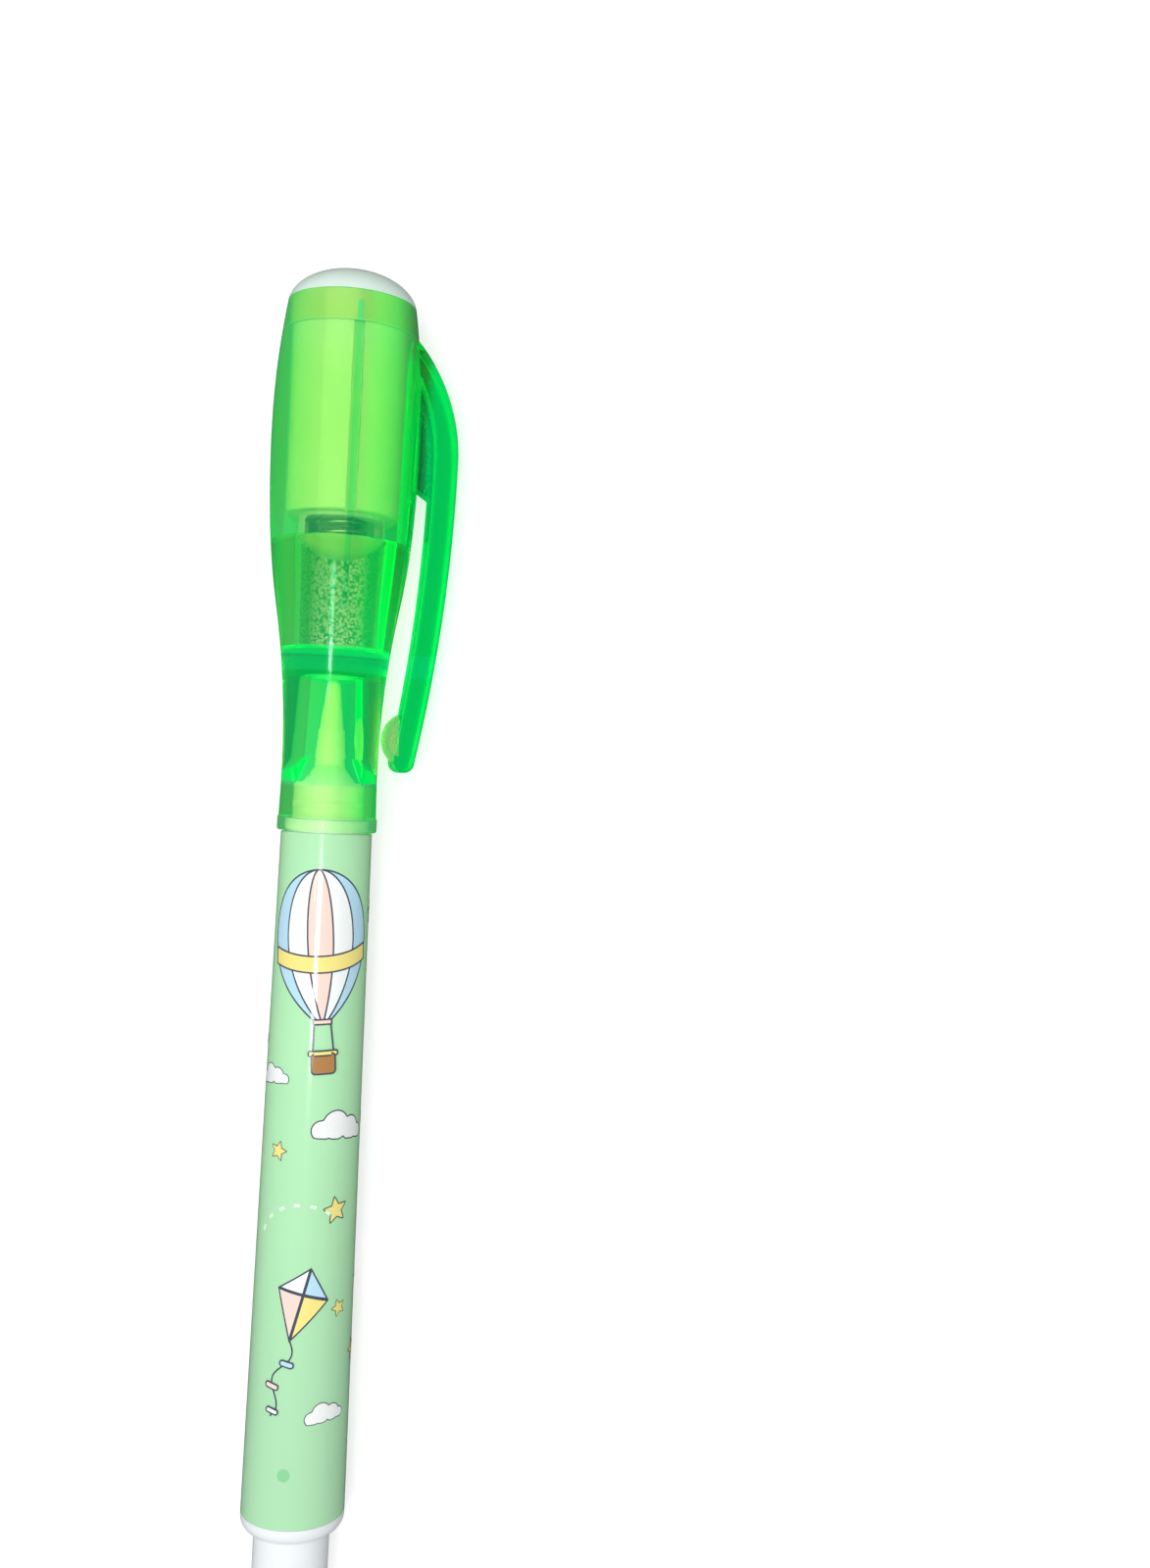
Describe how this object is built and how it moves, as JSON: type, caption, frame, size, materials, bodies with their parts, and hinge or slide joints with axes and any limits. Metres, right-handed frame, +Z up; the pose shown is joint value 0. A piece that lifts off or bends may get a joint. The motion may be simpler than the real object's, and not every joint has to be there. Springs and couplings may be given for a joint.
{
  "type": "uv invisible ink pen",
  "caption": "Fibre-tip pen for invisible ink with a printed tapered barrel and a clear green clip cap that holds a uv lamp, its cells and a side button.",
  "frame": {"origin": "centre of the bounding box on the table that the pen lies on", "axes": "+X from the tail to the lamp, +Z up; the pen's own axis rises 1.18 degrees toward the lamp because the cap is thicker than the tail"},
  "size_m": [0.1346, 0.0182, 0.0151],
  "materials": {
    "white_plastic": "smooth moulded",
    "milky_plastic": "smooth milky",
    "print_film": "glossy printed film",
    "green_clear": "clear tinted, polished",
    "nib_fibre": "pressed fibre",
    "core_fibre": "soft fibre",
    "clear_wrap": "thin film",
    "led_epoxy": "clear epoxy",
    "tinned_steel": "tinned",
    "spring_steel": "nickel plated",
    "cell_steel": "nickel plated"
  },
  "bodies": {
    "pen": {"barrel": "white_plastic", "print_film": "print_film", "tail_plug": "white_plastic", "fibre_nib": "nib_fibre", "ink_core": "core_fibre", "ink_core_wrap": "clear_wrap"},
    "cap": {"cap_shell": "green_clear", "lamp_dome": "milky_plastic", "lamp_tube": "white_plastic", "uv_led": "led_epoxy", "led_short_lead": "tinned_steel", "led_long_lead": "tinned_steel", "contact_spring": "spring_steel", "button_cell_1": "cell_steel", "button_cell_2": "cell_steel", "button_cell_3": "cell_steel"},
    "button": {"lamp_button": "white_plastic"}
  },
  "joints": [
    {"name": "cap_pull", "type": "slide", "parent": "pen", "child": "cap", "axis": [0.9998, 0, 0.0207], "range_m": [0, 0.02]},
    {"name": "button_press", "type": "slide", "parent": "cap", "child": "button", "axis": [-0.018, -0.4943, 0.8691], "range_m": [0, 0.0005], "stiffness_N_per_m": 600, "springref_m": -0.001, "deforming": ["led_long_lead"]}
  ]
}
